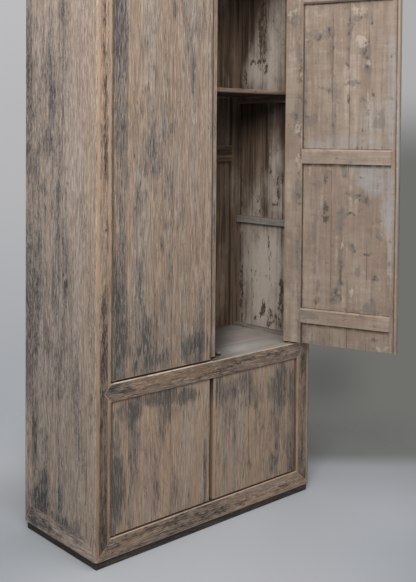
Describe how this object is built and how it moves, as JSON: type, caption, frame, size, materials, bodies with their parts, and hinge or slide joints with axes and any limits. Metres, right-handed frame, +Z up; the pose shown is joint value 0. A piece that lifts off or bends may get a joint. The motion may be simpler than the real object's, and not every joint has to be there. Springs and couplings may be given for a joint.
{
  "type": "east asian wooden cabinet",
  "caption": "Tall plain elm cabinet with tall pivot-hung leaves over short ones, mitred frame, shelf and low plinth; the upper right leaf stands open.",
  "frame": {"origin": "centre of the cabinet's footprint on the floor, on the underside of the plinth's cross rail", "axes": "+Z up; +Y towards the back; +X to the right of someone facing the front"},
  "size_m": [1.0591, 0.7988, 2.055],
  "materials": {
    "elm_frame": "bleached, weathered elm with grey streaks and warm worn edges",
    "elm_boards": "bleached, weathered elm boards with grey-black grain",
    "washed_elm": "old beige-taupe wash, rubbed through to grey wood",
    "elm_inside": "dark brown aged wood with pale worn patches",
    "plinth_elm": "near-black stained wood"
  },
  "bodies": {
    "carcass": {"front_post_left": "elm_frame", "front_post_right": "elm_frame", "back_post_left": "elm_frame", "back_post_right": "elm_frame", "top_rail_front": "elm_frame", "top_rail_back": "elm_frame", "top_rail_left": "elm_frame", "top_rail_right": "elm_frame", "bottom_rail_front": "elm_frame", "bottom_rail_back": "elm_frame", "bottom_rail_left": "elm_frame", "bottom_rail_right": "elm_frame", "sill_rail": "elm_frame", "floor_rail_left": "elm_inside", "floor_rail_right": "elm_inside", "floor_rail_back": "elm_inside", "back_rail_middle": "elm_inside", "plinth_front": "plinth_elm", "plinth_back": "plinth_elm", "plinth_left": "plinth_elm", "plinth_right": "plinth_elm", "plinth_cross_rail": "plinth_elm", "top_boards": "elm_boards", "top_battens": "elm_inside", "floor_boards": "elm_inside", "floor_battens": "elm_inside", "bottom_boards": "elm_inside", "bottom_battens": "elm_inside", "side_boards_left": "elm_boards", "side_boards_right": "elm_boards", "back_boards_upper": "elm_inside", "back_boards_lower": "elm_inside", "shelf": "elm_inside", "shelf_cleat_left": "elm_inside", "shelf_cleat_right": "elm_inside", "spare_cleat_left": "elm_inside", "spare_cleat_right": "elm_inside", "door_stop_block": "elm_frame"},
    "door_upper_left": {"upper_left_stile": "elm_boards", "upper_left_boards": "elm_boards", "upper_left_battens": "washed_elm", "upper_left_edge_strip": "elm_boards", "upper_left_cover_strip": "elm_boards"},
    "door_upper_right": {"upper_right_stile": "washed_elm", "upper_right_boards": "washed_elm", "upper_right_battens": "washed_elm", "upper_right_edge_strip": "washed_elm"},
    "door_lower_left": {"lower_left_stile": "elm_boards", "lower_left_boards": "elm_boards", "lower_left_battens": "washed_elm", "lower_left_edge_strip": "elm_boards"},
    "door_lower_right": {"lower_right_stile": "elm_boards", "lower_right_boards": "elm_boards", "lower_right_battens": "washed_elm", "lower_right_edge_strip": "elm_boards"}
  },
  "joints": [
    {"name": "upper_left_hinge", "type": "hinge", "parent": "carcass", "child": "door_upper_left", "pos_m": [-0.421, -0.192, 0.583], "axis": [0, 0, -1], "range_deg": [0, 110]},
    {"name": "upper_right_hinge", "type": "hinge", "parent": "carcass", "child": "door_upper_right", "pos_m": [0.407, -0.192, 0.583], "axis": [0, 0, 1], "range_deg": [-110, 0]},
    {"name": "lower_left_hinge", "type": "hinge", "parent": "carcass", "child": "door_lower_left", "pos_m": [-0.421, -0.192, 0.089], "axis": [0, 0, -1], "range_deg": [0, 110]},
    {"name": "lower_right_hinge", "type": "hinge", "parent": "carcass", "child": "door_lower_right", "pos_m": [0.407, -0.192, 0.089], "axis": [0, 0, 1], "range_deg": [0, 110]}
  ]
}
